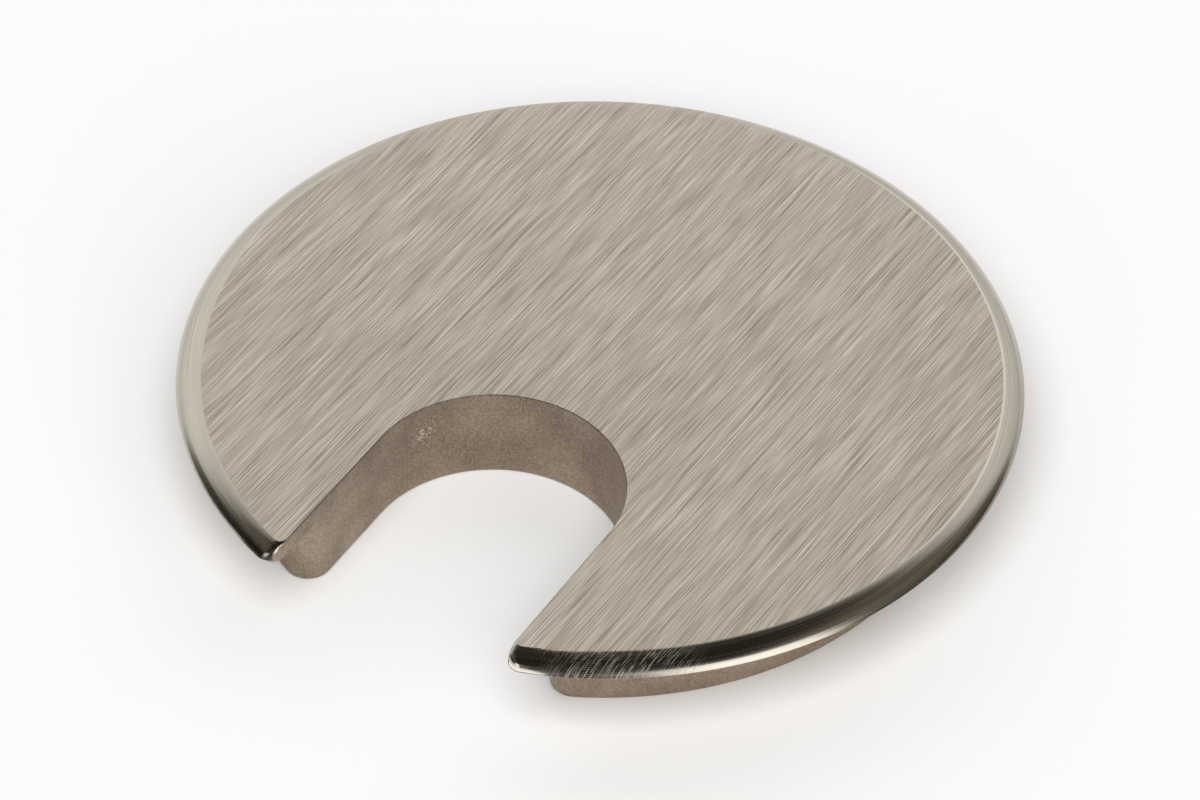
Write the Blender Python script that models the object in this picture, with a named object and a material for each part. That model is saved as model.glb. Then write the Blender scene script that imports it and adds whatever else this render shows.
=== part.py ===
# Desk grommet: a die-cast cover with a cable slot, held in its bored hole by two spring clips.
# Frame: the origin is on the hole's axis in the plane of the desk top, +Z up, slot opening to -Y.
import math

import bmesh
import bpy
from mathutils import Vector

MM = 0.001

# Cover: flange, rounded rim and the flat brushed face inside it
FLANGE_DIAMETER = 70.0 * MM
FLANGE_THICKNESS = 1.5 * MM
RIM_WIDTH = 2.0 * MM
RIM_DROP = 0.85 * MM
RIM_UNDERCUT = 0.35 * MM
FLANGE_CORNER_RADIUS = 1.2 * MM

# Skirt: the hollow spigot that stands in the bored hole
SKIRT_DIAMETER = 60.0 * MM
SKIRT_DEPTH = 7.1 * MM
SKIRT_WALL = 2.0 * MM
SKIRT_CORNER_RADIUS = 2.0 * MM
FOOT_ROUNDING = 0.3 * MM
HOLLOW_CORNER_RADIUS = 1.0 * MM

# Cable slot: parallel sides and a half-round end
SLOT_WIDTH = 21.4 * MM
SLOT_END_TO_AXIS = 6.1 * MM

# Spring clips: a steel strip hooked round the foot of the skirt wall
CLIP_WIDTH = 8.0 * MM
CLIP_THICKNESS = 0.3 * MM
CLIP_BEND_RADIUS = 0.5 * MM
CLIP_LEAN = math.radians(11.0)
CLIP_TOP_BELOW_SEAT = 2.5 * MM
CLIP_LIP_HEIGHT = 2.2 * MM
CLIP_RECESS_DEPTH = 0.9 * MM
CLIP_FOOT_MARGIN = 0.4 * MM
CLIP_CLEARANCE = 0.3 * MM

# Facets: steps on each round stretch
OUTER_STEPS = 96
CORNER_STEPS = 5
SLOT_END_STEPS = 24
RIM_STEPS = 4
BEND_STEPS = 4

# Sizes that follow from the driving dimensions
FLANGE_RADIUS = FLANGE_DIAMETER / 2
SKIRT_RADIUS = SKIRT_DIAMETER / 2
HOLLOW_RADIUS = SKIRT_RADIUS - SKIRT_WALL
SLOT_HALF_WIDTH = SLOT_WIDTH / 2
SLOT_CENTRE_Y = -(SLOT_END_TO_AXIS + SLOT_HALF_WIDTH)
CLIP_STRIP_Z = CLIP_FOOT_MARGIN + CLIP_THICKNESS / 2 - SKIRT_DEPTH
CLIP_SEAT_Z = CLIP_STRIP_Z + CLIP_THICKNESS / 2 + CLIP_CLEARANCE
RECESS_FLOOR_X = SKIRT_RADIUS - CLIP_RECESS_DEPTH
CLIP_LEG_X = RECESS_FLOOR_X + CLIP_CLEARANCE + CLIP_THICKNESS / 2
HOLLOW_X_AT_CLIP_EDGE = math.sqrt(HOLLOW_RADIUS ** 2 - (CLIP_WIDTH / 2) ** 2)
CLIP_LIP_X = HOLLOW_X_AT_CLIP_EDGE - CLIP_CLEARANCE - CLIP_THICKNESS / 2
CLIP_HINGE_X = (CLIP_LIP_X + CLIP_LEG_X) / 2


def clear_scene():
    for item in list(bpy.data.objects):
        bpy.data.objects.remove(item, do_unlink=True)


def metal(name, colour, roughness):
    material = bpy.data.materials.new(name)
    material.use_nodes = True
    shader = material.node_tree.nodes["Principled BSDF"]
    shader.inputs["Base Color"].default_value = (*colour, 1.0)
    shader.inputs["Metallic"].default_value = 1.0
    shader.inputs["Roughness"].default_value = roughness
    return material


def new_object(name, shape):
    """Turn a bmesh into a named object with outward faces."""
    bmesh.ops.recalc_face_normals(shape, faces=shape.faces)
    mesh = bpy.data.meshes.new(name)
    shape.to_mesh(mesh)
    shape.free()
    item = bpy.data.objects.new(name, mesh)
    bpy.context.collection.objects.link(item)
    return item


def arc(centre, radius, start, end, steps):
    """Points on an arc in the XY plane, both ends included."""
    points = []
    for step in range(steps + 1):
        angle = start + (end - start) * step / steps
        points.append((centre[0] + radius * math.cos(angle), centre[1] + radius * math.sin(angle)))
    return points


def slotted_disc(radius, slot_half_width, corner_radius):
    """Outline of a disc with the cable slot cut in from -Y and its two outer corners rounded."""
    corner_x = slot_half_width + corner_radius
    corner_y = -math.sqrt((radius - corner_radius) ** 2 - corner_x ** 2)
    tangent = math.atan2(corner_y, corner_x)
    right_corner = arc((corner_x, corner_y), corner_radius, -math.pi, tangent, CORNER_STEPS)
    left_corner = [(-x, y) for x, y in reversed(right_corner)]
    rim = arc((0.0, 0.0), radius, tangent, math.pi - tangent, OUTER_STEPS)
    slot_end = arc((0.0, SLOT_CENTRE_Y), slot_half_width, math.pi, 0.0, SLOT_END_STEPS)
    return right_corner + rim[1:-1] + left_corner + slot_end


def loft(name, levels):
    """Closed solid through outlines of equal point count, each given as (outline, height)."""
    shape = bmesh.new()
    loops = [[shape.verts.new((x, y, z)) for x, y in outline] for outline, z in levels]
    for upper, lower in zip(loops, loops[1:]):
        for index, corner in enumerate(upper):
            follow = (index + 1) % len(upper)
            shape.faces.new((corner, upper[follow], lower[follow], lower[index]))
    shape.faces.new(loops[0])
    shape.faces.new(loops[-1])
    return new_object(name, shape)


def combine(target, operation, tool):
    """Boolean of a hidden tool object into the target."""
    tool.hide_render = True
    tool.display_type = "WIRE"
    step = target.modifiers.new(tool.name, "BOOLEAN")
    step.operation = operation
    step.solver = "EXACT"
    step.object = tool


def flange_levels():
    """Outlines of the flange from its face, over the rounded rim, to the underside."""
    land_bottom = RIM_UNDERCUT
    levels = []
    for step in range(RIM_STEPS + 1):
        turn = math.pi / 2 * step / RIM_STEPS
        radius = FLANGE_RADIUS - RIM_WIDTH * (1 - math.sin(turn))
        height = FLANGE_THICKNESS - RIM_DROP * (1 - math.cos(turn))
        levels.append((slotted_disc(radius, SLOT_HALF_WIDTH, FLANGE_CORNER_RADIUS), height))
    for radius, height in (
        (FLANGE_RADIUS, land_bottom),
        (FLANGE_RADIUS - RIM_UNDERCUT, 0.0),
    ):
        levels.append((slotted_disc(radius, SLOT_HALF_WIDTH, FLANGE_CORNER_RADIUS), height))
    return levels


def skirt_levels():
    """Outlines of the solid spigot, from inside the flange down to its rounded foot."""
    levels = []
    for inset, height in (
        (0.0, FLANGE_THICKNESS / 2),
        (0.0, FOOT_ROUNDING - SKIRT_DEPTH),
        (FOOT_ROUNDING, -SKIRT_DEPTH),
    ):
        outline = slotted_disc(SKIRT_RADIUS - inset, SLOT_HALF_WIDTH + inset, SKIRT_CORNER_RADIUS - inset)
        levels.append((outline, height))
    return levels


def recess_cutter(name, side):
    """Pocket in the skirt wall for one clip: a flat outside the wall and a step under its foot."""
    below = -SKIRT_DEPTH - SKIRT_WALL
    outside = SKIRT_RADIUS + SKIRT_WALL
    inside = HOLLOW_X_AT_CLIP_EDGE - SKIRT_WALL
    top = CLIP_CLEARANCE - CLIP_TOP_BELOW_SEAT
    half_width = CLIP_WIDTH / 2 + CLIP_CLEARANCE
    profile = (
        (inside, below),
        (outside, below),
        (outside, top),
        (RECESS_FLOOR_X, top),
        (RECESS_FLOOR_X, CLIP_SEAT_Z),
        (inside, CLIP_SEAT_Z),
    )
    shape = bmesh.new()
    face = shape.faces.new([shape.verts.new((side * x, -half_width, z)) for x, z in profile])
    swept = bmesh.ops.extrude_face_region(shape, geom=[face])
    moved = [item for item in swept["geom"] if isinstance(item, bmesh.types.BMVert)]
    bmesh.ops.translate(shape, verts=moved, vec=(0.0, 2 * half_width, 0.0))
    return new_object(name, shape)


def build_cover():
    cover = loft("cover_casting", flange_levels())
    combine(cover, "UNION", loft("skirt_spigot", skirt_levels()))
    hollow = slotted_disc(HOLLOW_RADIUS, SLOT_HALF_WIDTH + SKIRT_WALL, HOLLOW_CORNER_RADIUS)
    below = -SKIRT_DEPTH - SKIRT_WALL
    combine(cover, "DIFFERENCE", loft("skirt_hollow", [(hollow, 0.0), (hollow, below)]))
    for name, side in (("recess_left", -1), ("recess_right", 1)):
        combine(cover, "DIFFERENCE", recess_cutter(name, side))
    cover.data.materials.append(metal("brushed_nickel", (0.45, 0.41, 0.35), 0.35))
    return cover


def clip_path():
    """Middle line of the bent strip in its own XZ plane, the hinge line at (0, 0)."""
    lip = CLIP_LIP_X - CLIP_HINGE_X
    leg = CLIP_LEG_X - CLIP_HINGE_X
    leg_height = -CLIP_TOP_BELOW_SEAT - CLIP_STRIP_Z
    bend = CLIP_BEND_RADIUS
    path = [(lip, CLIP_LIP_HEIGHT)]
    path += arc((lip + bend, bend), bend, math.pi, 1.5 * math.pi, BEND_STEPS)
    turn_end = 2 * math.pi - CLIP_LEAN
    leg_bend = arc((leg - bend, bend), bend, 1.5 * math.pi, turn_end, BEND_STEPS)
    path += leg_bend
    rise = leg_height - leg_bend[-1][1]
    path.append((leg_bend[-1][0] + rise * math.tan(CLIP_LEAN), leg_height))
    return path


def build_clip(name, side, material):
    shape = bmesh.new()
    line = [shape.verts.new((x, -CLIP_WIDTH / 2, z)) for x, z in clip_path()]
    edges = [shape.edges.new(pair) for pair in zip(line, line[1:])]
    swept = bmesh.ops.extrude_edge_only(shape, edges=edges)
    moved = [item for item in swept["geom"] if isinstance(item, bmesh.types.BMVert)]
    bmesh.ops.translate(shape, verts=moved, vec=(0.0, CLIP_WIDTH, 0.0))
    clip = new_object(name, shape)
    strip = clip.modifiers.new("strip", "SOLIDIFY")
    strip.thickness = CLIP_THICKNESS
    strip.offset = 0.0
    strip.use_even_offset = True
    clip.location = Vector((side * CLIP_HINGE_X, 0.0, CLIP_STRIP_Z))
    clip.rotation_euler.z = 0.0 if side > 0 else math.pi
    clip.data.materials.append(material)
    return clip


clear_scene()
build_cover()
spring_steel = metal("spring_steel", (0.55, 0.56, 0.58), 0.3)
build_clip("retaining_clip_right", 1, spring_steel)
build_clip("retaining_clip_left", -1, spring_steel)
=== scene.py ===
# %% [markdown]
# # A brushed desk grommet
# The object is one metal casting, taken to be zinc plated in satin nickel: a flat face brushed in
# straight lines, a smooth rounded rim, and a matte skirt that stands in the hole of a desk. A wide slot
# lets cables through. Two spring clips, which are inferred, grip the hole from the skirt. The packed
# solids give the sizes and the places, and this lesson makes the surfaces that the eye sees.

# %% Load the frame
import math

import bmesh
import bpy
from mathutils import Matrix, Vector


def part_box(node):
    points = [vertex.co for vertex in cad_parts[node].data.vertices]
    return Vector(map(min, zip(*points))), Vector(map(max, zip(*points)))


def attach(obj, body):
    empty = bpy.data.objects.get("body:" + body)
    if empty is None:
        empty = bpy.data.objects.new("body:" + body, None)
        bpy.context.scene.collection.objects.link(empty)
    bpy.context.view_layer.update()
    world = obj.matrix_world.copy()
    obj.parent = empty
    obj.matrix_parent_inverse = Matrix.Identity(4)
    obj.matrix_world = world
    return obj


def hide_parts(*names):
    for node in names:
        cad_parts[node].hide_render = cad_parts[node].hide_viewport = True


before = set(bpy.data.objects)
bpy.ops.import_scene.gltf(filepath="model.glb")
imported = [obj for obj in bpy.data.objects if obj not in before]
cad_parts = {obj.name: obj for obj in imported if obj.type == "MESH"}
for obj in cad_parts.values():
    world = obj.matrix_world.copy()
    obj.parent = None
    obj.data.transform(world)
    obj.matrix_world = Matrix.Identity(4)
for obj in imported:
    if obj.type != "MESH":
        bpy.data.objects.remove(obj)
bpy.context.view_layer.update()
scene = bpy.context.scene
MM = 0.001
print("nodes:", ", ".join(sorted(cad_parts)))

# %% [markdown]
# ## Sizes
# The flange's radius, the height of the face and the foot of the skirt come from the casting's own
# box. The sizes below them are the ones that a box can't tell, in metres.

# %% Read the casting's box and name the other sizes
casting_low, casting_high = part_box("cover_casting")
FLANGE_RADIUS = (casting_high[0] - casting_low[0]) / 2
FACE_Z = casting_high[2]
FOOT_Z = casting_low[2]
RIM_WIDTH = 2.15 * MM
RIM_DROP = 1.12 * MM
RIM_UNDERCUT = 0.35 * MM
FACE_CORNER = 0.5 * MM
FLANGE_CORNER = 1.2 * MM
SKIRT_RADIUS = 30.0 * MM
SKIRT_WALL = 2.0 * MM
SKIRT_CORNER = 2.0 * MM
HOLLOW_CORNER = 1.0 * MM
FOOT_ROUNDING = 0.35 * MM
SLOT_HALF_WIDTH = 10.7 * MM
SLOT_CENTRE_Y = -16.8 * MM
SLOT_EDGE_ROUNDING = 0.12 * MM
print(f"flange radius {FLANGE_RADIUS / MM:.2f} mm, face {FACE_Z / MM:.2f} mm, foot {FOOT_Z / MM:.2f} mm")

# %% [markdown]
# ## Camera
# The photograph looks taken with a long lens, and a camera half a metre away fits it. A camera can be
# aimed with a constraint, but a target, a distance, a turn and a height angle are the values that the
# fit gave. It also gave a small roll, and a turned pair of right and up axes holds it.

# %% Place the camera as the photograph was taken
CAMERA_TARGET = Vector((1.627, -2.789, 0.65)) * MM
CAMERA_DISTANCE = 492.9 * MM
CAMERA_AZIMUTH = math.radians(30.1)
CAMERA_ELEVATION = math.radians(42.88)
CAMERA_ROLL = math.radians(1.25)
CAMERA_LENS_MM = 180.0
CAMERA_SENSOR_MM = 36.0

backward = Vector((
    math.sin(CAMERA_AZIMUTH) * math.cos(CAMERA_ELEVATION),
    -math.cos(CAMERA_AZIMUTH) * math.cos(CAMERA_ELEVATION),
    math.sin(CAMERA_ELEVATION),
))
level_right = Vector((math.cos(CAMERA_AZIMUTH), math.sin(CAMERA_AZIMUTH), 0.0))
level_up = backward.cross(level_right)
right = math.cos(CAMERA_ROLL) * level_right + math.sin(CAMERA_ROLL) * level_up
up = backward.cross(right)
camera_data = bpy.data.cameras.new("photo_camera")
camera_data.lens = CAMERA_LENS_MM
camera_data.sensor_width = CAMERA_SENSOR_MM
camera = bpy.data.objects.new("photo_camera", camera_data)
camera_turn = Matrix((right, up, backward)).transposed().to_4x4()
camera.matrix_world = Matrix.Translation(CAMERA_TARGET + CAMERA_DISTANCE * backward) @ camera_turn
scene.collection.objects.link(camera)
scene.camera = camera
print("camera at", [round(value, 4) for value in camera.matrix_world.translation])

# %% [markdown]
# ## Outlines
# Every level of the casting has the same kind of outline: a disc with a U-shaped slot and two rounded
# corners. A curve object could hold it, but its points are wanted level by level. So it is drawn as a
# compass would: one vertex is spun about each centre in turn and pushed along the straight sides, until
# it is back where it began.

# %% Draw a slotted disc by walking one vertex round it
OUTER_STEPS = 240
CORNER_STEPS = 14
SLOT_END_STEPS = 64


def only_vert(geometry):
    """The one vertex among the parts that an operator gives back."""
    return next(item for item in geometry if isinstance(item, bmesh.types.BMVert))


def spin_point(shape, point, centre, angle, steps):
    """Carry a vertex round a centre and return the last vertex of the arc."""
    swept = bmesh.ops.spin(
        shape, geom=[point], cent=(*centre, point.co.z), axis=(0, 0, 1), angle=angle, steps=steps
    )
    return only_vert(swept["geom_last"])


def push_point(shape, point, x, y):
    """Carry a vertex along a straight side."""
    pushed = bmesh.ops.extrude_vert_indiv(shape, verts=[point])["verts"][0]
    pushed.co.xy = (x, y)
    return pushed


def slotted_disc(shape, radius, half_width, corner, height):
    """Wire loop of the slotted disc at one height; returns its edges."""
    before = set(shape.edges)
    corner_x = half_width + corner
    corner_y = -math.sqrt((radius - corner) ** 2 - corner_x ** 2)
    tangent = math.atan2(corner_y, corner_x)
    corner_turn = math.pi + tangent
    rim_turn = math.pi - 2 * tangent
    start = shape.verts.new((-half_width, SLOT_CENTRE_Y, height))
    point = spin_point(shape, start, (0.0, SLOT_CENTRE_Y), -math.pi, SLOT_END_STEPS)
    point = push_point(shape, point, half_width, corner_y)
    point = spin_point(shape, point, (corner_x, corner_y), corner_turn, CORNER_STEPS)
    point = spin_point(shape, point, (0.0, 0.0), rim_turn, OUTER_STEPS)
    point = spin_point(shape, point, (-corner_x, corner_y), corner_turn, CORNER_STEPS)
    shape.edges.new((point, start))
    return [edge for edge in shape.edges if edge not in before]


print("steps round each outline:", OUTER_STEPS + 2 * CORNER_STEPS + SLOT_END_STEPS)


# %% Build a solid through outlines
def link_mesh(name, shape):
    """New object from a bmesh, with its faces turned outwards."""
    bmesh.ops.recalc_face_normals(shape, faces=shape.faces)
    mesh = bpy.data.meshes.new(name)
    shape.to_mesh(mesh)
    shape.free()
    item = bpy.data.objects.new(name, mesh)
    scene.collection.objects.link(item)
    return item


def solid_from_levels(name, levels):
    """Closed solid through slotted discs, each given as (radius, half width, corner, height)."""
    shape = bmesh.new()
    loops = [slotted_disc(shape, *level) for level in levels]
    for upper, lower in zip(loops, loops[1:]):
        bmesh.ops.bridge_loops(shape, edges=upper + lower)
    bmesh.ops.edgeloop_fill(shape, edges=loops[0])
    bmesh.ops.edgeloop_fill(shape, edges=loops[-1])
    return link_mesh(name, shape)


print("helpers: link_mesh, solid_from_levels")

# %% [markdown]
# ## Flange and rim
# The rim falls from the ground face over a narrow roll and a shallow curve, turns down more tightly near
# its edge, and is cut back under a crisp lower edge to the seat. A lathe profile would do if the disc
# were whole. Here each point of the profile becomes one slotted disc, and the discs are bridged. The
# slot's corners are tight at the face and open out towards the lower edge, and the slot's own edge is
# only broken, by a tenth of a millimetre.

# %% Work out the rim's profile
RIM_START_SLOPE = math.radians(12.0)
RIM_TURN_SLOPE = math.radians(30.0)
RIM_END_SLOPE = math.radians(60.0)
RIM_ROLL_RUN = 0.35 * MM
RIM_ROLL_STEPS = 4
RIM_CURVE_STEPS = 8
RIM_EDGE_STEPS = 12


def rim_radii():
    """Radii of the roll, the shallow curve and the edge, from the rim's width and drop."""
    roll = RIM_ROLL_RUN / math.sin(RIM_START_SLOPE)
    run = RIM_WIDTH - RIM_ROLL_RUN
    fall = RIM_DROP - roll * (1 - math.cos(RIM_START_SLOPE))
    curve_run = math.sin(RIM_TURN_SLOPE) - math.sin(RIM_START_SLOPE)
    curve_fall = math.cos(RIM_START_SLOPE) - math.cos(RIM_TURN_SLOPE)
    edge_run = math.sin(RIM_END_SLOPE) - math.sin(RIM_TURN_SLOPE)
    edge_fall = math.cos(RIM_TURN_SLOPE) - math.cos(RIM_END_SLOPE)
    scale = curve_run * edge_fall - edge_run * curve_fall
    curve = (run * edge_fall - edge_run * fall) / scale
    edge = (curve_run * fall - run * curve_fall) / scale
    return roll, curve, edge


def rim_profile():
    """Points (radius, height) from the face's edge down to the seat."""
    roll, curve, edge = rim_radii()
    radius = FLANGE_RADIUS - RIM_WIDTH
    height = FACE_Z
    points = [(radius, height)]
    stretches = (
        (roll, 0.0, RIM_START_SLOPE, RIM_ROLL_STEPS),
        (curve, RIM_START_SLOPE, RIM_TURN_SLOPE, RIM_CURVE_STEPS),
        (edge, RIM_TURN_SLOPE, RIM_END_SLOPE, RIM_EDGE_STEPS),
    )
    for bend, first, last, steps in stretches:
        for step in range(1, steps + 1):
            before = first + (last - first) * (step - 1) / steps
            after = first + (last - first) * step / steps
            radius += bend * (math.sin(after) - math.sin(before))
            height -= bend * (math.cos(before) - math.cos(after))
            points.append((radius, height))
    points.append((FLANGE_RADIUS - RIM_UNDERCUT, 0.0))
    return points


def broken_slot_edge(height):
    """Half width of the slot at a height, wider within the broken edge under the face."""
    inside = max(0.0, SLOT_EDGE_ROUNDING - (FACE_Z - height))
    drop = math.sqrt(SLOT_EDGE_ROUNDING ** 2 - inside ** 2)
    return SLOT_HALF_WIDTH + SLOT_EDGE_ROUNDING - drop


def corner_at(radius):
    """Radius of the slot's corners at a level of the rim."""
    share = (radius - FLANGE_RADIUS + RIM_WIDTH) / RIM_WIDTH
    return FACE_CORNER + (FLANGE_CORNER - FACE_CORNER) * share


print("rim radii, mm:", [round(value / MM, 2) for value in rim_radii()])

# %% [markdown]
# The face looks ground by hand, so it isn't quite central: the rim is narrow at the back right and wide
# at the left, and it narrows again at the slot. The upper rings are moved for both, less and less
# towards the outer edge. The slot's right corner is rolled over: it stays shallow for longer and then
# falls steeply, so its lower edge mirrors the pale floor. A sculpting brush could do this by eye, but
# moves that follow from angles can be repeated and changed.

# %% Make the flange and move its ground face off centre
FACE_SHIFT = 0.25 * MM
FACE_SHIFT_ANGLE = math.radians(65.0)
SHIFT_FREE_ANGLE = math.radians(42.0)
SHIFT_FULL_ANGLE = math.radians(65.0)
TIP_GRIND = 0.4 * MM
TIP_GRIND_ANGLE = math.radians(19.0)
TIP_FREE_ANGLE = math.radians(36.0)
ROLL_FULL_ANGLE = math.radians(19.5)
ROLL_FREE_ANGLE = math.radians(26.0)
ROLL_SHALLOW_FALL = 0.5 * MM
ROLL_STEEP_FALL = 0.9 * MM
ROLL_POWER = 12


def smooth_step(value, low, high):
    """Share from 0 to 1 that eases in and out between two values."""
    share = min(1.0, max(0.0, (value - low) / (high - low)))
    return share * share * (3 - 2 * share)


def rolled_height(share):
    """Height of the rolled corner at a share of the rim's width."""
    return FACE_Z - ROLL_SHALLOW_FALL * share - ROLL_STEEP_FALL * share ** ROLL_POWER


def shift_face(item):
    """Move the rim's upper rings off centre and roll the slot's right corner over."""
    step = Vector((math.cos(FACE_SHIFT_ANGLE), math.sin(FACE_SHIFT_ANGLE))) * FACE_SHIFT
    profile = rim_profile()
    for vertex in item.data.vertices:
        on_rim = vertex.co.xy.length > FLANGE_RADIUS - 2 * RIM_WIDTH
        if not on_rim or vertex.co.z < FACE_Z - RIM_DROP:
            continue
        level = min(profile, key=lambda point: abs(point[1] - vertex.co.z))[0]
        upper = (FLANGE_RADIUS - level) / RIM_WIDTH
        from_slot = math.atan2(abs(vertex.co.x), -vertex.co.y)
        vertex.co.xy += upper * smooth_step(from_slot, SHIFT_FREE_ANGLE, SHIFT_FULL_ANGLE) * step
        vertex.co.y -= upper * (1 - smooth_step(from_slot, TIP_GRIND_ANGLE, TIP_FREE_ANGLE)) * TIP_GRIND
        if vertex.co.x > 0:
            rolled = 1 - smooth_step(from_slot, ROLL_FULL_ANGLE, ROLL_FREE_ANGLE)
            vertex.co.z += rolled * (rolled_height(1 - upper) - vertex.co.z)


flange_levels = [
    (radius, broken_slot_edge(height), corner_at(radius), height) for radius, height in rim_profile()
]
cover = solid_from_levels("cover", flange_levels)
shift_face(cover)
print("flange:", len(cover.data.polygons), "faces")

# %% [markdown]
# ## Skirt and hollow
# The skirt is the same outline, smaller, joined under the flange. The slot's wall is shared, so the two
# are flush there, as one casting is. All of it could be one long list of levels, but the clip pockets
# would still have to be cut. So a Boolean joins the spigot and cuts the hollow and the pockets. Booleans
# are applied at once and their tools deleted, so only the casting stays.

# %% Join the skirt and cut the hollow
FOOT_STEPS = 5


def foot_levels():
    """Levels of the solid spigot, from inside the flange down round its foot."""
    levels = [(SKIRT_RADIUS, SLOT_HALF_WIDTH, SKIRT_CORNER, FACE_Z / 2)]
    for step in range(FOOT_STEPS + 1):
        roll = math.pi / 2 * step / FOOT_STEPS
        inset = FOOT_ROUNDING * (1 - math.cos(roll))
        height = FOOT_Z + FOOT_ROUNDING * (1 - math.sin(roll))
        levels.append((SKIRT_RADIUS - inset, SLOT_HALF_WIDTH + inset, SKIRT_CORNER - inset, height))
    return levels


def combine(target, operation, tool):
    """Apply a Boolean of the tool into the target and delete the tool."""
    step = target.modifiers.new(tool.name, "BOOLEAN")
    step.operation = operation
    step.object = tool
    graph = bpy.context.evaluated_depsgraph_get()
    combined = bpy.data.meshes.new_from_object(target.evaluated_get(graph))
    target.modifiers.clear()
    target.data = combined
    bpy.data.objects.remove(tool)


combine(cover, "UNION", solid_from_levels("spigot", foot_levels()))
hollow_level = (SKIRT_RADIUS - SKIRT_WALL, SLOT_HALF_WIDTH + SKIRT_WALL, HOLLOW_CORNER)
hollow = solid_from_levels("hollow", [(*hollow_level, 0.0), (*hollow_level, FOOT_Z - SKIRT_WALL)])
combine(cover, "DIFFERENCE", hollow)
print("casting:", len(cover.data.polygons), "faces")

# %% Cut the clip pockets
POCKET_HALF_WIDTH = 4.3 * MM
POCKET_FLOOR_X = 29.1 * MM
POCKET_TOP_Z = -2.2 * MM
POCKET_STEP_X = SKIRT_RADIUS - 2 * SKIRT_WALL
POCKET_STEP_Z = -6.1 * MM


def block(name, low, high):
    """Box tool between two corners."""
    shape = bmesh.new()
    bmesh.ops.create_cube(shape, size=1.0)
    size = Vector(high) - Vector(low)
    bmesh.ops.scale(shape, vec=size, verts=shape.verts)
    bmesh.ops.translate(shape, vec=Vector(low) + size / 2, verts=shape.verts)
    return link_mesh(name, shape)


def cut_pocket(name, side, inner_x, top_z):
    """Cut the skirt on one side, outwards from an inner face and up to a height."""
    near, far = sorted((side * inner_x, side * (SKIRT_RADIUS + SKIRT_WALL)))
    low = (near, -POCKET_HALF_WIDTH, FOOT_Z - SKIRT_WALL)
    combine(cover, "DIFFERENCE", block(name, low, (far, POCKET_HALF_WIDTH, top_z)))


for side in (-1, 1):
    cut_pocket("pocket", side, POCKET_FLOOR_X, POCKET_TOP_Z)
    cut_pocket("pocket_step", side, POCKET_STEP_X, POCKET_STEP_Z)
print("casting with pockets:", len(cover.data.polygons), "faces")

# %% [markdown]
# ## Streaks
# Brushing leaves long thin grooves. A picture of brushed metal would repeat and blur close up. A noise
# that is stretched along one axis doesn't, and several of these at different widths look less regular
# than one. The group takes a vector and the width and length of a streak, and gives a value from 0 to 1.
# Each streak starts a little further on than its neighbour, or their ends would line up in rows. All the
# finishes use it.

# %% Make and feed nodes
FLOAT = "NodeSocketFloat"
VECTOR = "NodeSocketVector"


def new_group(name, inputs, output):
    """Shader node group with named inputs and one float output; returns it with its end nodes."""
    group = bpy.data.node_groups.new(name, "ShaderNodeTree")
    for socket, kind in inputs.items():
        group.interface.new_socket(socket, in_out="INPUT", socket_type=kind)
    group.interface.new_socket(output, in_out="OUTPUT", socket_type=FLOAT)
    return group, group.nodes.new("NodeGroupInput"), group.nodes.new("NodeGroupOutput")


def feed(tree, socket, value):
    """Link a varying value to a socket, or set a plain one on it."""
    if isinstance(value, bpy.types.NodeSocket):
        tree.links.new(value, socket)
    else:
        socket.default_value = value


def place_group(tree, group, inputs):
    """Place a group in a tree, feed its inputs by name and return its output."""
    node = tree.nodes.new("ShaderNodeGroup")
    node.node_tree = group
    for socket, value in inputs.items():
        feed(tree, node.inputs[socket], value)
    return node.outputs[0]


def math_node(tree, operation, *values, clamp=False):
    """Result of a Math node on one to three values."""
    node = tree.nodes.new("ShaderNodeMath")
    node.operation = operation
    node.use_clamp = clamp
    for slot, value in enumerate(values):
        feed(tree, node.inputs[slot], value)
    return node.outputs[0]


def map_range(tree, value, low, high, to_low=0.0, to_high=1.0):
    """Carry a value smoothly from one span to another."""
    node = tree.nodes.new("ShaderNodeMapRange")
    node.interpolation_type = "SMOOTHSTEP"
    feed(tree, node.inputs["Value"], value)
    feed(tree, node.inputs["From Min"], low)
    feed(tree, node.inputs["From Max"], high)
    feed(tree, node.inputs["To Min"], to_low)
    feed(tree, node.inputs["To Max"], to_high)
    return node.outputs["Result"]


print("helpers: new_group, feed, place_group, math_node, map_range")

# %% Build the streak group
STREAK_STAGGER = 0.7
STREAK_DETAIL = 1.0
STREAK_ROUGHNESS = 0.6
NOISE_SPAN = (0.3, 0.7)


def build_streaks():
    group, enter, leave = new_group(
        "streaks", {"Vector": VECTOR, "Width mm": FLOAT, "Length mm": FLOAT}, "Streak"
    )
    split = group.nodes.new("ShaderNodeSeparateXYZ")
    group.links.new(enter.outputs["Vector"], split.inputs[0])
    across_size = math_node(group, "MULTIPLY", enter.outputs["Width mm"], MM)
    along_size = math_node(group, "MULTIPLY", enter.outputs["Length mm"], MM)
    across = math_node(group, "DIVIDE", split.outputs["X"], across_size)
    along = math_node(group, "DIVIDE", split.outputs["Y"], along_size)
    along = math_node(group, "MULTIPLY_ADD", across, STREAK_STAGGER, along)
    down = math_node(group, "DIVIDE", split.outputs["Z"], across_size)
    join = group.nodes.new("ShaderNodeCombineXYZ")
    for index, value in enumerate((across, along, down)):
        group.links.new(value, join.inputs[index])
    noise = group.nodes.new("ShaderNodeTexNoise")
    noise.inputs["Scale"].default_value = 1.0
    noise.inputs["Detail"].default_value = STREAK_DETAIL
    noise.inputs["Roughness"].default_value = STREAK_ROUGHNESS
    group.links.new(join.outputs[0], noise.inputs["Vector"])
    group.links.new(map_range(group, noise.outputs["Fac"], *NOISE_SPAN), leave.inputs["Streak"])
    return group


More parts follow.
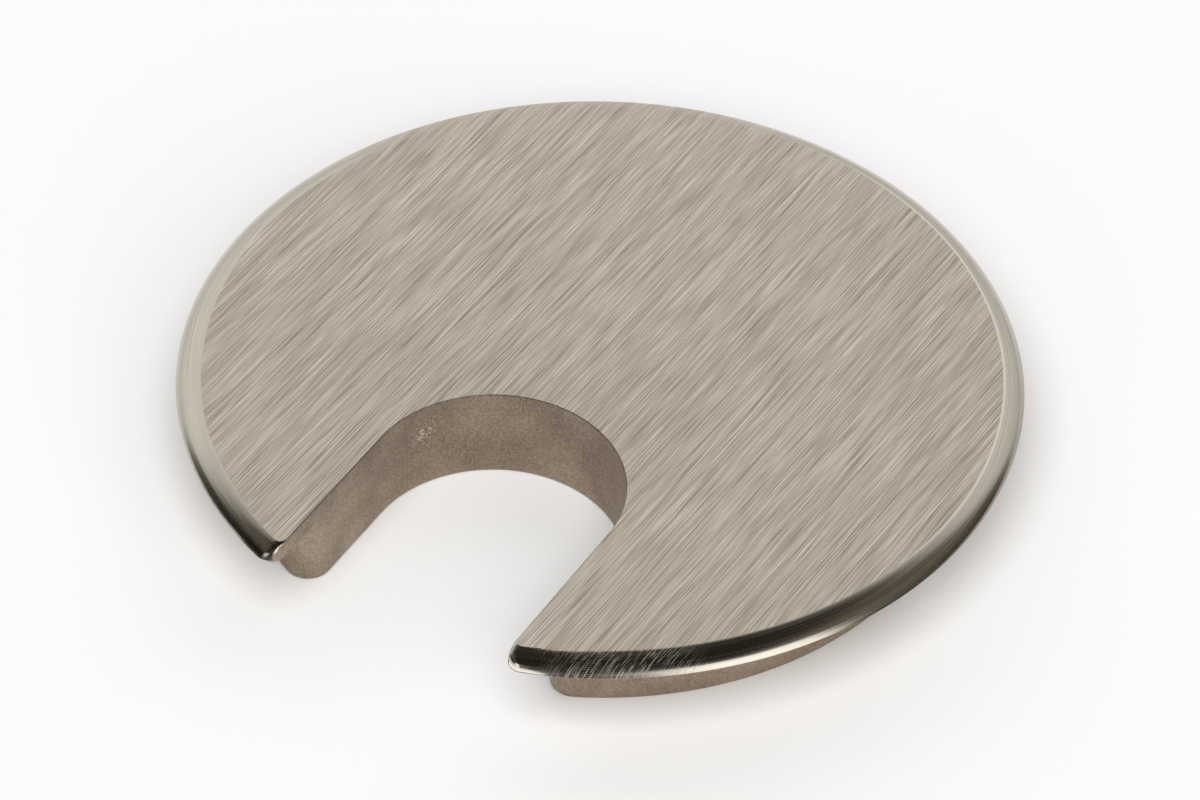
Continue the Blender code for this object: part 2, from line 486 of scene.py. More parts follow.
def place_streaks(tree, vector, size_mm):
    """Streaks of a width and a length."""
    width, length = size_mm
    return place_group(tree, streaks, {"Vector": vector, "Width mm": width, "Length mm": length})


streaks = build_streaks()
print("group:", streaks.name, "with", len(streaks.nodes), "nodes")

# %% [markdown]
# ## Brushed face
# The face is nickel brushed along the slot. Fine and middle streaks are added, and a few deep dark ones
# are taken away. They set the tone, the gloss and a shallow groove. An anisotropic shader could blur
# the reflection along the grooves too, but it needs a direction that the exported part can't carry. The
# brushing runs on over part of the rim, so it is a group that both finishes place.

# %% Build the brushing group
FINE_STREAK_MM = (0.045, 3.4)
MIDDLE_STREAK_MM = (0.07, 5.5)
DEEP_STREAK_MM = (0.1, 7.0)
DEEP_SPAN = (0.9, 1.0)
FINE_SHARE = 0.5
MIDDLE_SHARE = 0.5
DEEP_SHARE = 0.2
BRUSH_TURN = (0.0, 0.0, math.radians(1.7))


def build_brushing():
    group, enter, leave = new_group("brushing", {"Vector": VECTOR}, "Tone")
    vector = enter.outputs["Vector"]
    deep = map_range(group, place_streaks(group, vector, DEEP_STREAK_MM), *DEEP_SPAN)
    tone = math_node(group, "MULTIPLY", place_streaks(group, vector, FINE_STREAK_MM), FINE_SHARE)
    middle = place_streaks(group, vector, MIDDLE_STREAK_MM)
    tone = math_node(group, "MULTIPLY_ADD", middle, MIDDLE_SHARE, tone)
    tone = math_node(group, "MULTIPLY_ADD", deep, -DEEP_SHARE, tone, clamp=True)
    group.links.new(tone, leave.inputs["Tone"])
    return group


def object_coordinates(tree):
    return tree.nodes.new("ShaderNodeTexCoord").outputs["Object"]


def turned_coordinates(tree, angles, keep_height=1.0, level=0.0):
    """Object coordinates turned by three angles, their height kept or flattened to a level."""
    mapping = tree.nodes.new("ShaderNodeMapping")
    mapping.inputs["Rotation"].default_value = angles
    mapping.inputs["Scale"].default_value = (1.0, 1.0, keep_height)
    mapping.inputs["Location"].default_value = (0.0, 0.0, level)
    tree.links.new(object_coordinates(tree), mapping.inputs["Vector"])
    return mapping.outputs["Vector"]


def brushed_tone(tree):
    """Tone of the brushing, from 0 in a deep groove to 1 on a ridge."""
    vector = turned_coordinates(tree, BRUSH_TURN, keep_height=0.0, level=FACE_Z)
    return place_group(tree, brushing, {"Vector": vector})


brushing = build_brushing()
print("group:", brushing.name, "with", len(brushing.nodes), "nodes")

# %% Make the brushed face's material
NICKEL_DARK = (0.291, 0.244, 0.178)
NICKEL_LIGHT = (0.804, 0.733, 0.622)
FACE_METALLIC = 0.7
FACE_ROUGHNESS = (0.52, 0.40)
GROOVE_DEPTH = 0.004 * MM


def new_metal(name, metallic=1.0):
    """Material with a metallic shader; returns it with its tree and shader."""
    material = bpy.data.materials.new(name)
    material.use_nodes = True
    tree = material.node_tree
    shader = tree.nodes["Principled BSDF"]
    shader.inputs["Metallic"].default_value = metallic
    return material, tree, shader


def blend_colours(tree, factor, first, second):
    """Lay the second colour over the first by a mask; each is a plain colour or a varying one."""
    mix = tree.nodes.new("ShaderNodeMix")
    mix.data_type = "RGBA"
    tree.links.new(factor, mix.inputs["Factor"])
    for socket, colour in (("A", first), ("B", second)):
        opaque = (*colour, 1.0) if isinstance(colour, tuple) else colour
        feed(tree, mix.inputs[socket], opaque)
    return mix.outputs["Result"]


def between(tree, mask, ends):
    """Value that follows a mask from one end to the other."""
    return map_range(tree, mask, 0.0, 1.0, *ends)


def add_bump(tree, shader, height, depth):
    bump = tree.nodes.new("ShaderNodeBump")
    bump.inputs["Strength"].default_value = 1.0
    bump.inputs["Distance"].default_value = depth
    tree.links.new(height, bump.inputs["Height"])
    tree.links.new(bump.outputs["Normal"], shader.inputs["Normal"])


def brushed_face_material():
    material, tree, shader = new_metal("brushed_face", FACE_METALLIC)
    tone = brushed_tone(tree)
    tree.links.new(blend_colours(tree, tone, NICKEL_DARK, NICKEL_LIGHT), shader.inputs["Base Color"])
    tree.links.new(between(tree, tone, FACE_ROUGHNESS), shader.inputs["Roughness"])
    add_bump(tree, shader, tone, GROOVE_DEPTH)
    return material


brushed_face = brushed_face_material()
print("material:", brushed_face.name, "with", len(brushed_face.node_tree.nodes), "nodes")

# %% [markdown]
# ## Spots
# Wear gathers in places: a corner that cables rub, a patch of specks. A painted mask could hold them, but
# it would be a picture. The distance from a point, in Object coordinates, gives a round mask that stays
# on the piece. The rim and the cast skirt both use it, so it is a group.

# %% Build the spot group
SPOT_INPUTS = {"Vector": VECTOR, "Centre": VECTOR, "Inner mm": FLOAT, "Outer mm": FLOAT}


def build_spot():
    group, enter, leave = new_group("spot", SPOT_INPUTS, "Mask")
    gap = group.nodes.new("ShaderNodeVectorMath")
    gap.operation = "DISTANCE"
    group.links.new(enter.outputs["Vector"], gap.inputs[0])
    group.links.new(enter.outputs["Centre"], gap.inputs[1])
    gap_mm = math_node(group, "DIVIDE", gap.outputs["Value"], MM)
    mask = map_range(group, gap_mm, enter.outputs["Inner mm"], enter.outputs["Outer mm"], 1.0, 0.0)
    group.links.new(mask, leave.inputs["Mask"])
    return group


def near_point(tree, point_mm, radii_mm):
    """Mask that is 1 within the inner radius of a point and fades to 0 at the outer one."""
    inner, outer = radii_mm
    return place_group(tree, spot, {
        "Vector": object_coordinates(tree),
        "Centre": [value * MM for value in point_mm],
        "Inner mm": inner,
        "Outer mm": outer,
    })


spot = build_spot()
print("group:", spot.name, "with", len(spot.nodes), "nodes")

# %% [markdown]
# ## Rim
# The rim is smoother than the face, with faint lines round it from polishing. By the slot's right corner,
# where cables drag, scratches run on over the edge. A scratch is rougher than the metal round it, so it
# shows pale where the smooth metal mirrors something dark. At the back left the brushing itself runs on
# over the rim. On the right a pale line along the rim's inner edge is a painted highlight. The lower edge
# is painted darker as painted shade, more behind than by the slot and fading out to the left, and darkest
# at the slot's left corner; at the slot's right corner it is painted pale as a painted highlight. Each
# stretch could be a material of its own, but then it would end in a hard line. Masks let one finish fade
# into the next.

# %% Find places on the rim
WORN_CORNER_MM = (19.0, -28.4, 1.2)
WORN_RADII_MM = (2.5, 8.0)
SCRATCH_TURN = (0.0, 0.0, math.radians(12.0))
SCRATCH_STREAK_MM = (0.075, 1.5)
SCRATCH_SPAN = (0.72, 0.95)
LOWER_EDGE_MM = (0.5, 0.95)
# Painted shade: the lower edge is painted darker, more behind than by the slot and fading out to the left.
EDGE_SHADE_BACK_MM = (-16.0, -4.0)
EDGE_SHADE_RIGHT_MM = (-34.0, -8.0)
EDGE_SHADE_BY_SLOT = 0.25
EDGE_SHADE_BEHIND = 0.8
# Painted shade: the lower edge is painted almost black at the slot's left corner.
SHADED_CORNER_MM = (-12.4, -32.3, 0.4)
SHADED_CORNER_RADII_MM = (1.0, 3.2)
# Painted highlight: the lower edge is painted pale at the slot's right corner.
HIGHLIGHT_CORNER_MM = (12.0, -32.4, 0.5)
HIGHLIGHT_CORNER_RADII_MM = (1.5, 4.5)
# Painted highlight: a pale line is painted along the rim's inner edge on the right, away from the slot.
INNER_HIGHLIGHT_HEIGHT_MM = (1.43, 1.475)
INNER_HIGHLIGHT_RIGHT_MM = (2.0, 12.0)
INNER_HIGHLIGHT_BACK_MM = (-12.0, -2.0)
INNER_HIGHLIGHT_SHARE = 0.6
BRUSHED_BACK_MM = (8.0, 20.0)
BRUSHED_LEFT_MM = (-14.0, 2.0)


def split_coordinates(tree):
    """Object coordinates as three separate outputs, X, Y and Z."""
    split = tree.nodes.new("ShaderNodeSeparateXYZ")
    tree.links.new(object_coordinates(tree), split.inputs[0])
    return split.outputs


def ramp(tree, axis, span_mm, start=0.0, end=1.0):
    """Value that goes from start to end between two places on an axis."""
    low, high = [value * MM for value in span_mm]
    return map_range(tree, split_coordinates(tree)[axis], low, high, start, end)


def product(tree, *factors):
    """Masks and shares multiplied together."""
    result = factors[0]
    for factor in factors[1:]:
        result = math_node(tree, "MULTIPLY", result, factor)
    return result


def rim_masks(tree):
    """Where each change of the rim's finish, painted shade and painted highlight lies."""
    flat_vector = turned_coordinates(tree, SCRATCH_TURN, keep_height=0.0)
    scratches = map_range(tree, place_streaks(tree, flat_vector, SCRATCH_STREAK_MM), *SCRATCH_SPAN)
    worn = near_point(tree, WORN_CORNER_MM, WORN_RADII_MM)
    lower = ramp(tree, "Z", LOWER_EDGE_MM, 1.0, 0.0)
    lower_edge_shade = ramp(tree, "Y", EDGE_SHADE_BACK_MM, EDGE_SHADE_BY_SLOT, EDGE_SHADE_BEHIND)
    crest = ramp(tree, "Z", INNER_HIGHLIGHT_HEIGHT_MM)
    crest_side = product(tree, ramp(tree, "X", INNER_HIGHLIGHT_RIGHT_MM), ramp(tree, "Y", INNER_HIGHLIGHT_BACK_MM))
    back = math_node(tree, "SUBTRACT", ramp(tree, "Y", BRUSHED_BACK_MM), lower, clamp=True)
    return {
        "worn": worn,
        "scratch": product(tree, scratches, worn),
        # painted shade on the lower edge
        "lower_edge_shade": product(tree, lower, lower_edge_shade, ramp(tree, "X", EDGE_SHADE_RIGHT_MM)),
        # painted shade at the slot's left corner
        "left_tip_shade": product(tree, lower, near_point(tree, SHADED_CORNER_MM, SHADED_CORNER_RADII_MM)),
        # painted highlight at the slot's right corner
        "right_tip_highlight": product(tree, lower, near_point(tree, HIGHLIGHT_CORNER_MM, HIGHLIGHT_CORNER_RADII_MM)),
        # painted highlight along the rim's inner edge
        "inner_edge_highlight": product(tree, crest, INNER_HIGHLIGHT_SHARE, crest_side),
        "brushed": product(tree, back, ramp(tree, "X", BRUSHED_LEFT_MM, 1.0, 0.0)),
    }


rim_spots = (WORN_CORNER_MM, SHADED_CORNER_MM, HIGHLIGHT_CORNER_MM)
print("rim spots, mm from the axis:", [round(math.hypot(x, y), 1) for x, y, z in rim_spots])

# %% Make the rim's material
RIM_NICKEL_DARK = (0.48, 0.445, 0.375)
RIM_NICKEL_LIGHT = (0.57, 0.53, 0.45)
RIM_TINTS = {
    # painted shade on the lower edge
    "lower_edge_shade": (0.30, 0.275, 0.23),
    # painted shade at the slot's left corner
    "left_tip_shade": (0.09, 0.077, 0.06),
    # painted highlight at the slot's right corner
    "right_tip_highlight": (0.94, 0.89, 0.80),
    "scratch": (0.86, 0.79, 0.68),
    # painted highlight along the rim's inner edge
    "inner_edge_highlight": (0.80, 0.75, 0.66),
}
RIM_ROUGHNESS = (0.19, 0.25)
RIM_ROUGHER = {"worn": 0.03, "scratch": 0.45, "brushed": 0.24}
RIM_LINE_MM = (0.12, 12.0)
RIM_LINE_DEPTH = 0.0015 * MM


def polar_coordinates(tree):
    """Vector of distance from the axis, distance round the rim, and height."""
    place = split_coordinates(tree)
    angle = math_node(tree, "ARCTAN2", place["Y"], place["X"])
    squares = math_node(tree, "MULTIPLY", place["X"], place["X"])
    squares = math_node(tree, "MULTIPLY_ADD", place["Y"], place["Y"], squares)
    join = tree.nodes.new("ShaderNodeCombineXYZ")
    tree.links.new(math_node(tree, "SQRT", squares), join.inputs["X"])
    tree.links.new(math_node(tree, "MULTIPLY", angle, FLANGE_RADIUS), join.inputs["Y"])
    tree.links.new(place["Z"], join.inputs["Z"])
    return join.outputs[0]


def rim_material():
    material, tree, shader = new_metal("smooth_rim")
    masks = rim_masks(tree)
    lines = place_streaks(tree, polar_coordinates(tree), RIM_LINE_MM)
    colour = blend_colours(tree, lines, RIM_NICKEL_DARK, RIM_NICKEL_LIGHT)
    # Scratch tints are real marks; the other tints are painted shade and painted highlights.
    for name, tint in RIM_TINTS.items():
        colour = blend_colours(tree, masks[name], colour, tint)
    brushed_colour = blend_colours(tree, brushed_tone(tree), NICKEL_DARK, NICKEL_LIGHT)
    colour = blend_colours(tree, masks["brushed"], colour, brushed_colour)
    rough = between(tree, lines, RIM_ROUGHNESS)
    for name, rougher in RIM_ROUGHER.items():
        rough = math_node(tree, "MULTIPLY_ADD", masks[name], rougher, rough)
    tree.links.new(colour, shader.inputs["Base Color"])
    tree.links.new(between(tree, masks["brushed"], (1.0, FACE_METALLIC)), shader.inputs["Metallic"])
    tree.links.new(rough, shader.inputs["Roughness"])
    add_bump(tree, shader, lines, RIM_LINE_DEPTH)
    return material


smooth_rim = rim_material()
print("material:", smooth_rim.name, "with", len(smooth_rim.node_tree.nodes), "nodes")

# %% [markdown]
# ## Cast skirt
# The slot's wall and the skirt are left as cast under the plating: matte, a little pink, with a fine
# grain, soft patches and dark blotches all over, a few dark drag marks under the face, one spot of pale
# specks and a paler stain at the slot's left end. One noise could make it all look grainy, but each of
# these has its own size, so each has its own noise, and the colours are laid over each other.

# %% Find the marks on the cast skirt
GRAIN_MM = 0.2
GRAIN_DETAIL = 2.0
PATCH_MM = 5.0
PATCH_DETAIL = 1.0
SPECK_MM = 0.3
SPECK_SPAN = (0.54, 0.62)
SPECKED_SPOT_MM = (-9.5, -11.9, -1.3)
SPECKED_RADII_MM = (0.3, 2.2)
STAIN_STREAK_MM = (1.6, 1.6)
STAIN_SPAN = (0.35, 0.8)
STAINED_END_MM = (-11.2, -28.6, -2.0)
STAINED_RADII_MM = (1.5, 7.0)
STAIN_SHARE = 0.2
BLOTCH_MM = 0.9
BLOTCH_SPAN = (0.52, 0.72)
BLOTCH_SHARE = 0.22
DRAG_TURN = (math.pi / 2, 0.0, 0.0)
DRAG_STREAK_MM = (0.22, 3.0)
DRAG_SPAN = (0.75, 0.95)
DRAGGED_SPOT_MM = (-2.2, -6.3, 0.6)
DRAGGED_RADII_MM = (0.6, 2.6)
DRAG_SHARE = 0.7


def noise_mask(tree, size_mm, span, detail=GRAIN_DETAIL):
    """Noise of a size, spread from 0 to 1 over a span of its values."""
    noise = tree.nodes.new("ShaderNodeTexNoise")
    noise.inputs["Scale"].default_value = 1.0 / (size_mm * MM)
    noise.inputs["Detail"].default_value = detail
    tree.links.new(object_coordinates(tree), noise.inputs["Vector"])
    return map_range(tree, noise.outputs["Fac"], *span)


def cast_masks(tree):
    """Where each mark of the cast skirt lies. The drag marks stand upright on the slot's wall."""
    stains = place_streaks(tree, object_coordinates(tree), STAIN_STREAK_MM)
    stained = near_point(tree, STAINED_END_MM, STAINED_RADII_MM)
    drags = place_streaks(tree, turned_coordinates(tree, DRAG_TURN), DRAG_STREAK_MM)
    dragged = near_point(tree, DRAGGED_SPOT_MM, DRAGGED_RADII_MM)
    specked = near_point(tree, SPECKED_SPOT_MM, SPECKED_RADII_MM)
    return {
        "speck": product(tree, noise_mask(tree, SPECK_MM, SPECK_SPAN), specked),
        "stain": product(tree, map_range(tree, stains, *STAIN_SPAN), stained, STAIN_SHARE),
        "blotch": product(tree, noise_mask(tree, BLOTCH_MM, BLOTCH_SPAN), BLOTCH_SHARE),
        "drag": product(tree, map_range(tree, drags, *DRAG_SPAN), dragged, DRAG_SHARE),
    }


cast_spots = (SPECKED_SPOT_MM, STAINED_END_MM, DRAGGED_SPOT_MM)
print("cast spots, mm below the face:", [round(FACE_Z / MM - z, 1) for x, y, z in cast_spots])

# %% Make the cast skirt's material
CAST_DARK = (0.328, 0.265, 0.202)
CAST_LIGHT = (0.495, 0.41, 0.325)
CAST_TINTS = {
    "speck": (0.72, 0.66, 0.56),
    "stain": (0.52, 0.47, 0.40),
    "blotch": (0.2, 0.168, 0.14),
    "drag": (0.15, 0.122, 0.096),
}
CAST_ROUGHNESS = (0.74, 0.62)
GRAIN_SHARE = 0.6
PATCH_SHARE = 0.4
GRAIN_DEPTH = 0.006 * MM


def cast_material():
    material, tree, shader = new_metal("cast_skirt")
    masks = cast_masks(tree)
    grain = noise_mask(tree, GRAIN_MM, NOISE_SPAN)
    patches = noise_mask(tree, PATCH_MM, NOISE_SPAN, PATCH_DETAIL)
    tone = math_node(tree, "MULTIPLY", grain, GRAIN_SHARE)
    tone = math_node(tree, "MULTIPLY_ADD", patches, PATCH_SHARE, tone)
    colour = blend_colours(tree, tone, CAST_DARK, CAST_LIGHT)
    for name, tint in CAST_TINTS.items():
        colour = blend_colours(tree, masks[name], colour, tint)
    tree.links.new(colour, shader.inputs["Base Color"])
    tree.links.new(between(tree, tone, CAST_ROUGHNESS), shader.inputs["Roughness"])
    add_bump(tree, shader, grain, GRAIN_DEPTH)
    return material


cast_skirt = cast_material()
print("material:", cast_skirt.name, "with", len(cast_skirt.node_tree.nodes), "nodes")

# %% [markdown]
# ## Finishes on the casting
# One casting has three finishes, so its mesh has three material slots. A polygon's place and the way it
# faces say which finish it has. Picking the polygons by hand would have to be done again after every
# change of shape.

# %% Give each polygon its finish
FACE_SLOT, RIM_SLOT, CAST_SLOT = range(3)
FLAT_FACING = 0.99
SLOT_FACING = 0.64
FACE_TOLERANCE = SLOT_EDGE_ROUNDING / 10
SEAT_TOLERANCE = RIM_UNDERCUT / 10


def finish_of(polygon):
    centre = polygon.center
    if polygon.normal.z > FLAT_FACING and centre.z > FACE_Z - FACE_TOLERANCE:
        return FACE_SLOT
    across = abs(centre.x)
    in_slot = across < SLOT_HALF_WIDTH + SLOT_EDGE_ROUNDING / 2
    faces_slot = abs(polygon.normal.x) > SLOT_FACING and across < SLOT_HALF_WIDTH + FLANGE_CORNER
    at_slot = centre.y < 0 and (in_slot or faces_slot)
    above_seat = centre.z > SEAT_TOLERANCE
    outside = math.hypot(centre.x, centre.y) > SKIRT_RADIUS
    if above_seat and outside and not at_slot:
        return RIM_SLOT
    return CAST_SLOT


cover.data.materials.clear()
for finish in (brushed_face, smooth_rim, cast_skirt):
    cover.data.materials.append(finish)
counts = [0, 0, 0]
for polygon in cover.data.polygons:
    polygon.material_index = finish_of(polygon)
    counts[polygon.material_index] += 1
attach(cover, "cover")
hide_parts("cover_casting")
print("faces with each finish:", counts)

# %% [markdown]
# ## Shading normals
# Round stretches are shaded smooth and true edges stay crisp. The ground face is flat right up to its
# edge, so that edge is marked sharp too: otherwise its normals would lean with the rim's and the
# reflection in the face would bend. A Weighted Normal modifier could hold the face flat as well, but a
# marked edge stays in the mesh itself.

# %% Smooth the round stretches and keep the face flat
CRISP_ANGLE = math.radians(25.0)
cover.data.shade_smooth()
cover.data.set_sharp_from_angle(angle=CRISP_ANGLE)
casting = bmesh.new()
casting.from_mesh(cover.data)
face_outline = [
    edge for edge in casting.edges
    if len({face.material_index == FACE_SLOT for face in edge.link_faces}) == 2
]
for edge in face_outline:
    edge.smooth = False
casting.to_mesh(cover.data)
casting.free()
print("edges round the face:", len(face_outline))

# %% [markdown]
# ## Spring clips
# A clip is a strip of spring steel bent into a J: a lip inside the skirt, a bend under its foot and a
# leg that leans out. It could be a bent box. Here a vertex walks along the bent line, the line is
# extruded into a sheet, and two modifiers thicken it and round its edges, as a strip is made from sheet.

# %% Make the clips' steel
STEEL_DARK = (0.43, 0.425, 0.42)
STEEL_LIGHT = (0.61, 0.605, 0.595)
STEEL_ROUGHNESS = (0.36, 0.24)
STEEL_TURN = (0.0, 0.0, math.pi / 2)
STEEL_STREAK_MM = (0.2, 6.0)
STEEL_LINE_DEPTH = 0.003 * MM


def steel_material():
    material, tree, shader = new_metal("spring_steel")
    rolled = place_streaks(tree, turned_coordinates(tree, STEEL_TURN), STEEL_STREAK_MM)
    tree.links.new(blend_colours(tree, rolled, STEEL_DARK, STEEL_LIGHT), shader.inputs["Base Color"])
    tree.links.new(between(tree, rolled, STEEL_ROUGHNESS), shader.inputs["Roughness"])
    add_bump(tree, shader, rolled, STEEL_LINE_DEPTH)
    return material


spring_steel = steel_material()
print("material:", spring_steel.name, "with", len(spring_steel.node_tree.nodes), "nodes")

# %% Bend a sheet for a clip
CLIP_WIDTH = 8.0 * MM
CLIP_THICKNESS = 0.3 * MM
CLIP_BEND = 0.5 * MM
CLIP_BEND_STEPS = 8
CLIP_LEAN = math.radians(11.0)
CLIP_LIP_HEIGHT = 2.2 * MM
CLIP_LEG_GAP = 0.3 * MM
CLIP_LEG_TOP_Z = -2.5 * MM


def spin_in_section(shape, point, centre, angle):
    """Carry a vertex round a bend of the strip."""
    swept = bmesh.ops.spin(
        shape, geom=[point], cent=(centre[0], point.co.y, centre[1]), axis=(0, 1, 0),
        angle=angle, steps=CLIP_BEND_STEPS,
    )
    return only_vert(swept["geom_last"])


def push_in_section(shape, point, x, z):
    """Carry a vertex along a straight stretch of the strip."""
    pushed = bmesh.ops.extrude_vert_indiv(shape, verts=[point])["verts"][0]
    pushed.co.xz = (x, z)
    return pushed


def bent_sheet(node):
    """Middle sheet of the right clip, with its place taken from a clip's solid."""
    low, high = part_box(node)
    lip_x = min(abs(low[0]), abs(high[0])) + CLIP_THICKNESS / 2
    leg_x = POCKET_FLOOR_X + CLIP_LEG_GAP + CLIP_THICKNESS / 2
    strip_z = low[2] + CLIP_THICKNESS / 2
    bend_z = strip_z + CLIP_BEND
    shape = bmesh.new()
    point = shape.verts.new((lip_x, -CLIP_WIDTH / 2, strip_z + CLIP_LIP_HEIGHT))
    point = push_in_section(shape, point, lip_x, bend_z)
    point = spin_in_section(shape, point, (lip_x + CLIP_BEND, bend_z), -math.pi / 2)
    point = push_in_section(shape, point, leg_x - CLIP_BEND, point.co.z)
    point = spin_in_section(shape, point, (leg_x - CLIP_BEND, bend_z), CLIP_LEAN - math.pi / 2)
    rise = CLIP_LEG_TOP_Z - point.co.z
    push_in_section(shape, point, point.co.x + rise * math.tan(CLIP_LEAN), CLIP_LEG_TOP_Z)
    swept = bmesh.ops.extrude_edge_only(shape, edges=shape.edges[:])
    moved = [item for item in swept["geom"] if isinstance(item, bmesh.types.BMVert)]
    bmesh.ops.translate(shape, vec=(0.0, CLIP_WIDTH, 0.0), verts=moved)
    return shape


print(f"clip strip: {CLIP_THICKNESS / MM:.1f} mm thick, {CLIP_WIDTH / MM:.1f} mm wide")

# %% Make the two clips
CLIP_EDGE_ROUNDING = 0.06 * MM
CLIP_EDGE_SEGMENTS = 2
CLIP_EDGE_ANGLE = math.radians(40.0)
HALF_TURN = Matrix.Rotation(math.pi, 3, "Z")


def make_clip(name, node, body, side):
    shape = bent_sheet(node)
    if side < 0:
        bmesh.ops.rotate(shape, cent=(0, 0, 0), matrix=HALF_TURN, verts=shape.verts)
    clip = link_mesh(name, shape)
    strip = clip.modifiers.new("strip", "SOLIDIFY")
    strip.thickness = CLIP_THICKNESS
    strip.offset = 0.0
    strip.use_even_offset = True
    edges = clip.modifiers.new("edges", "BEVEL")
    edges.width = CLIP_EDGE_ROUNDING
    edges.segments = CLIP_EDGE_SEGMENTS
    edges.limit_method = "ANGLE"
    edges.angle_limit = CLIP_EDGE_ANGLE
    clip.data.shade_smooth()
    clip.data.materials.append(spring_steel)
    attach(clip, body)
    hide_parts(node)
    print("clip:", clip.name, "from a sheet of", len(clip.data.polygons), "faces")


make_clip("clip_left", "retaining_clip_left", "clip_left", -1)
make_clip("clip_right", "retaining_clip_right", "clip_right", 1)

# %% [markdown]
# ## Floor and light
# Polished metal shows what is round it. The studio is a pale floor, a tall pale wall behind the object,
# a softbox at each side of the camera, a dim wall on the left and on the right, and a dark ceiling. The
# wall behind lights the face. The right softbox shows as a bright line in the rim's lower edge, the side
# walls lift the ends of the rim's dark band, and the ceiling is that band. Lamps and cards could be
# modelled, but panels drawn on the world's sky by direction cost nothing and cast no shadow. A broad sun
# that mirrors don't show gives the soft shadow.

# %% Lay the floor
FLOOR_SIZE = 40.0
FLOOR_GAP = 0.02 * MM
FLOOR_COLOUR = (0.93, 0.93, 0.93, 1.0)
FLOOR_ROUGHNESS = 0.9
FLOOR_SPECULAR = 0.1
floor_shape = bmesh.new()
bmesh.ops.create_grid(floor_shape, x_segments=1, y_segments=1, size=FLOOR_SIZE / 2)
bmesh.ops.translate(floor_shape, vec=(0.0, 0.0, FOOT_Z - FLOOR_GAP), verts=floor_shape.verts)
floor_mesh = bpy.data.meshes.new("floor")
floor_shape.to_mesh(floor_mesh)
floor_shape.free()
floor = bpy.data.objects.new("floor", floor_mesh)
scene.collection.objects.link(floor)
floor_paint = bpy.data.materials.new("floor_paint")
floor_paint.use_nodes = True
floor_shader = floor_paint.node_tree.nodes["Principled BSDF"]
floor_shader.inputs["Base Color"].default_value = FLOOR_COLOUR
floor_shader.inputs["Roughness"].default_value = FLOOR_ROUGHNESS
floor_shader.inputs["Specular IOR Level"].default_value = FLOOR_SPECULAR
floor_mesh.materials.append(floor_paint)
print("floor:", FLOOR_SIZE, "m wide")

# %% Find directions in the studio
BOX_EDGE = 5.0
world = bpy.data.worlds.new("studio")
world.use_nodes = True
scene.world = world
sky = world.node_tree
direction = sky.nodes.new("ShaderNodeTexCoord").outputs["Generated"]


def along(axis):
    """Part of the direction that lies along an axis."""
    node = sky.nodes.new("ShaderNodeVectorMath")
    node.operation = "DOT_PRODUCT"
    sky.links.new(direction, node.inputs[0])
    node.inputs[1].default_value = axis
    return node.outputs["Value"]


rise = along((0.0, 0.0, 1.0))
leftward = along(-level_right)
away = along((-math.sin(CAMERA_AZIMUTH), math.cos(CAMERA_AZIMUTH), 0.0))
turn_left = math_node(sky, "ARCTAN2", leftward, away)
height_angle = math_node(sky, "ARCSINE", rise)


def within(value, centre, half_width, inside=1.0):
    """Level inside a span of degrees, fading over its soft edges."""
    gap = math_node(sky, "ABSOLUTE", math_node(sky, "SUBTRACT", value, math.radians(centre)))
    near = math.radians(half_width - BOX_EDGE)
    far = math.radians(half_width + BOX_EDGE)
    return map_range(sky, gap, near, far, inside, 0.0)


print("world:", world.name)

# %% Put up the wall behind
BACK_LEVEL = 1.0
BACK_TOP = (1.05, 2.0)
BACK_TOP_TILT = 0.24
BACK_TOP_SAG = 0.2
BACK_HALF_WIDTH = 60.0
LEFT_GAIN = 0.19
HORIZON_SHARE = 0.72
HORIZON_RISE = 0.6
NEAR_ZERO = 0.001


def back_wall():
    """Pale wall behind, with a soft tilted top, brighter to the left and dimmer at its foot."""
    top = math_node(sky, "MULTIPLY_ADD", leftward, BACK_TOP_TILT, rise)
    aside = math_node(sky, "ABSOLUTE", leftward)
    top = math_node(sky, "MULTIPLY_ADD", aside, -BACK_TOP_SAG, top)
    wall_height = math_node(sky, "DIVIDE", top, math_node(sky, "MAXIMUM", away, NEAR_ZERO))
    return product(
        sky,
        map_range(sky, wall_height, *BACK_TOP, BACK_LEVEL, 0.0),
        within(turn_left, 0.0, BACK_HALF_WIDTH),
        math_node(sky, "MULTIPLY_ADD", leftward, LEFT_GAIN, 1.0),
        map_range(sky, rise, 0.0, HORIZON_RISE, HORIZON_SHARE, 1.0),
    )


pale = back_wall()
print("wall behind:", 2 * BACK_HALF_WIDTH, "degrees wide")

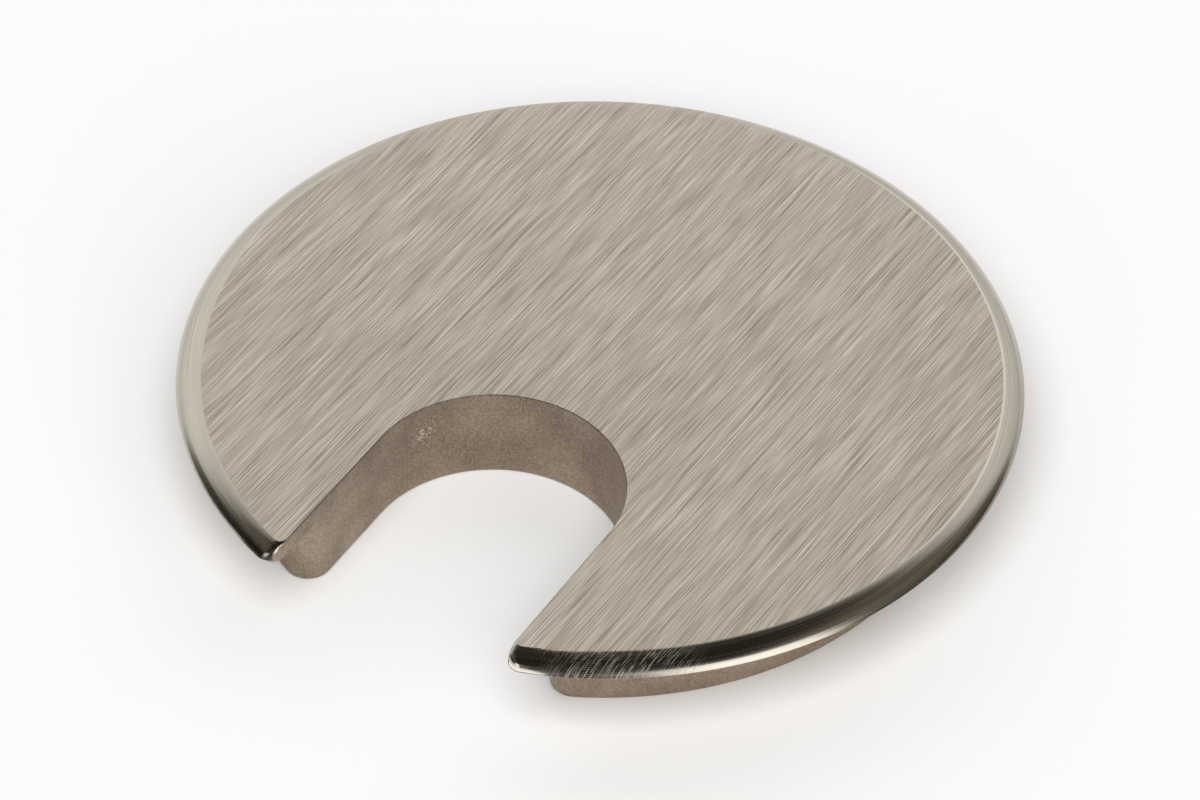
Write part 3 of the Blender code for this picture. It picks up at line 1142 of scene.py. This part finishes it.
# %% Put up the softboxes and the side walls
LEFT_BOX = {"turn": 140.0, "half_width": 15.0, "low": -20.0, "high": 32.0, "level": 1.6}
RIGHT_BOX = {"turn": -143.0, "half_width": 22.0, "low": 5.0, "high": 43.0, "level": 2.2}
LEFT_WALL = {"turn": 90.0, "half_width": 30.0, "low": 36.0, "high": 62.0, "level": 0.13}
RIGHT_WALL = {"turn": -90.0, "half_width": 30.0, "low": 14.0, "high": 62.0, "level": 0.15}
PANELS = (LEFT_BOX, RIGHT_BOX, LEFT_WALL, RIGHT_WALL)
DIM_LEVEL = 0.02
DIM_COLOUR = (1.0, 0.84, 0.6)
PALE_COLOUR = (1.0, 1.0, 1.0)
PALE_GAIN = 2.2


def panel_level(turn, half_width, low, high, level):
    """Panel at a turn to the left of the wall behind, between two heights, all in degrees."""
    across = within(turn_left, turn, half_width)
    upright = within(height_angle, (low + high) / 2, (high - low) / 2, level)
    return math_node(sky, "MULTIPLY", across, upright)


for panel in PANELS:
    pale = math_node(sky, "MAXIMUM", pale, panel_level(**panel))
backdrop = sky.nodes["Background"]
paleness = math_node(sky, "MULTIPLY", pale, PALE_GAIN, clamp=True)
sky.links.new(blend_colours(sky, paleness, DIM_COLOUR, PALE_COLOUR), backdrop.inputs["Color"])
sky.links.new(math_node(sky, "MAXIMUM", pale, DIM_LEVEL), backdrop.inputs["Strength"])
print("panels:", len(PANELS))

# %% Add the sun
SUN_STRENGTH = 2.56
SUN_ELEVATION = math.radians(55.0)
SUN_AZIMUTH = math.radians(23.0)
SUN_SPREAD = math.radians(50.0)
sun_data = bpy.data.lights.new("key", "SUN")
sun_data.energy = SUN_STRENGTH
sun_data.angle = SUN_SPREAD
sun = bpy.data.objects.new("key", sun_data)
sun_side = Vector((math.sin(SUN_AZIMUTH), -math.cos(SUN_AZIMUTH), math.tan(SUN_ELEVATION)))
sun.rotation_euler = sun_side.to_track_quat("Z", "Y").to_euler()
sun.visible_glossy = False
scene.collection.objects.link(sun)
scene.view_settings.view_transform = "Standard"
print("sun:", SUN_STRENGTH, "W per square metre")
